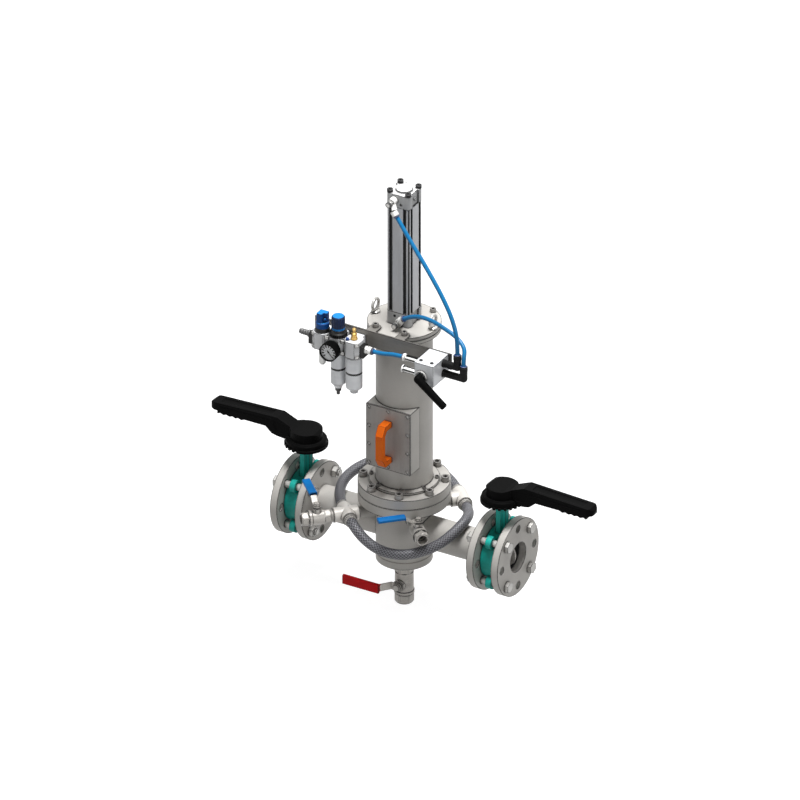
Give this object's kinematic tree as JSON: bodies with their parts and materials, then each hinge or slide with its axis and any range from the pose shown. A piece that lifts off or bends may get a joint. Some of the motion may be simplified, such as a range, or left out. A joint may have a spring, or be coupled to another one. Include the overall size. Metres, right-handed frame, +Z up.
{
  "type": "magnetic separator",
  "caption": "Automatic magnetic separator for a pipe: flanged vessel with sleeved magnets, lifting air cylinder, hand valves, braided hoses and air preparation",
  "frame": {"origin": "centre of the inlet flange's outer face, on the pipe's axis", "axes": "+X along the pipe from inlet to outlet, +Z up along the vessel, -Y the front with the inspection cover"},
  "size_m": [0.994, 0.3482, 1.072],
  "materials": {
    "stainless": "bead blasted stainless steel",
    "dark_screws": "dark steel socket screws",
    "gasket": "matt black sealing rubber",
    "cover_plate": "grey brushed steel plate",
    "bright_screws": "bright steel",
    "orange_plastic": "orange moulded plastic",
    "aluminium": "anodised aluminium, grey",
    "barrel_aluminium": "anodised extruded aluminium",
    "nickel": "nickel plated brass",
    "chrome_rod": "hard chromed rod",
    "magnet_steel": "plated magnets and pole plates",
    "teal_paint": "teal epoxy paint",
    "polished_steel": "machined stainless steel",
    "black_plastic": "black glass filled plastic",
    "liner_rubber": "black liner rubber",
    "black_steel": "black painted steel",
    "blue_grip": "blue dipped plastic grip on a steel lever",
    "red_grip": "red dipped plastic grip on a steel lever",
    "braided_steel": "stainless wire braid",
    "blue_tube": "blue polyurethane tube",
    "bracket_steel": "grey steel plate",
    "blue_plastic": "blue moulded plastic",
    "bowl_aluminium": "bright aluminium bowl",
    "brass": "plain brass",
    "gauge_case": "black case with a white dial",
    "valve_aluminium": "bright aluminium block"
  },
  "bodies": {
    "frame": {"lower_vessel": "stainless", "upper_flange": "stainless", "ring_screws": "dark_screws", "gaskets": "gasket", "sleeve_assembly": "stainless", "housing": "stainless", "inspection_cover": "cover_plate", "cover_screws": "bright_screws", "cover_handle": "orange_plastic", "lid": "stainless", "lid_screws": "bright_screws", "lifting_eyes": "bright_screws", "cylinder_base_cap": "aluminium", "cylinder_barrel": "barrel_aluminium", "cylinder_head_cap": "aluminium", "cylinder_screws": "dark_screws", "flow_controls": "nickel", "inlet_valve_body": "teal_paint", "outlet_valve_body": "teal_paint", "valve_liners": "liner_rubber", "notch_plates": "black_steel", "counter_flanges": "stainless", "flange_bolts": "bright_screws", "flush_valve_body": "polished_steel", "sample_valve_body": "polished_steel", "drain_valve_body": "polished_steel", "hose_tees": "stainless", "front_hose": "braided_steel", "rear_hose": "braided_steel", "upper_air_tube": "blue_tube", "lower_air_tube": "blue_tube", "supply_air_tube": "blue_tube", "air_bracket": "bracket_steel", "shutoff_valve": "black_plastic", "filter_regulator": "black_plastic", "frl_bowls": "bowl_aluminium", "lubricator": "black_plastic", "pressure_gauge": "gauge_case", "hand_valve": "valve_aluminium", "push_in_fittings": "black_plastic"},
    "magnet_lift": {"piston_rod": "chrome_rod", "magnet_carrier": "stainless", "magnet_bars": "magnet_steel"},
    "inlet_lever": {"inlet_disc": "polished_steel", "inlet_lever": "black_plastic"},
    "inlet_latch": {"inlet_latch": "black_plastic"},
    "outlet_lever": {"outlet_disc": "polished_steel", "outlet_lever": "black_plastic"},
    "outlet_latch": {"outlet_latch": "black_plastic"},
    "flush_lever": {"flush_ball": "polished_steel", "flush_lever": "blue_grip"},
    "sample_lever": {"sample_ball": "polished_steel", "sample_lever": "blue_grip"},
    "drain_lever": {"drain_ball": "polished_steel", "drain_lever": "red_grip"},
    "shutoff_knob": {"shutoff_knob": "blue_plastic"},
    "regulator_knob": {"regulator_knob": "blue_plastic"},
    "drip_screw": {"drip_screw": "brass"},
    "gauge_needle": {"gauge_needle": "black_steel"},
    "hand_lever": {"hand_lever": "black_plastic"}
  },
  "joints": [
    {"name": "magnet_lift", "type": "slide", "parent": "frame", "child": "magnet_lift", "axis": [0, 0, 1], "range_m": [0, 0.23]},
    {"name": "inlet_lever_turn", "type": "hinge", "parent": "frame", "child": "inlet_lever", "pos_m": [0.041, 0, 0.14], "axis": [0, 0, 1], "range_deg": [0, 90]},
    {"name": "inlet_latch_squeeze", "type": "hinge", "parent": "inlet_lever", "child": "inlet_latch", "pos_m": [0.021, 0, 0.152], "axis": [0, 1, 0], "range_deg": [0, 3.4], "stiffness_Nm_per_rad": 3, "springref_deg": -5.73},
    {"name": "outlet_lever_turn", "type": "hinge", "parent": "frame", "child": "outlet_lever", "pos_m": [0.549, 0, 0.14], "axis": [0, 0, 1], "range_deg": [-90, 0]},
    {"name": "outlet_latch_squeeze", "type": "hinge", "parent": "outlet_lever", "child": "outlet_latch", "pos_m": [0.569, 0, 0.152], "axis": [0, -1, 0], "range_deg": [0, 3.4], "stiffness_Nm_per_rad": 3, "springref_deg": -5.73},
    {"name": "flush_lever_turn", "type": "hinge", "parent": "frame", "child": "flush_lever", "pos_m": [0.15146, -0.14354, 0.048], "axis": [0, 0, 1], "range_deg": [0, 90]},
    {"name": "sample_lever_turn", "type": "hinge", "parent": "frame", "child": "sample_lever", "pos_m": [0.38197, -0.08697, 0.048], "axis": [0, 0, 1], "range_deg": [0, 90]},
    {"name": "drain_lever_turn", "type": "hinge", "parent": "frame", "child": "drain_lever", "pos_m": [0.295, 0, -0.147], "axis": [0, 1, 0], "range_deg": [-90, 0]},
    {"name": "shutoff_turn", "type": "hinge", "parent": "frame", "child": "shutoff_knob", "pos_m": [0.151, -0.118, 0.53], "axis": [0, 0, 1], "range_deg": [0, 90]},
    {"name": "regulator_turn", "type": "hinge", "parent": "frame", "child": "regulator_knob", "pos_m": [0.192, -0.118, 0.537], "axis": [0, 0, 1], "range_deg": [-360, 360]},
    {"name": "drip_turn", "type": "hinge", "parent": "frame", "child": "drip_screw", "pos_m": [0.233, -0.118, 0.521], "axis": [0, 0, 1], "range_deg": [-360, 360]},
    {"name": "gauge_needle_turn", "type": "hinge", "parent": "frame", "child": "gauge_needle", "pos_m": [0.192, -0.163, 0.497], "axis": [0, -1, 0], "range_deg": [-210, 60]},
    {"name": "hand_lever_turn", "type": "hinge", "parent": "frame", "child": "hand_lever", "pos_m": [0.431, -0.159, 0.502], "axis": [0, 1, 0], "range_deg": [0, 90]}
  ]
}
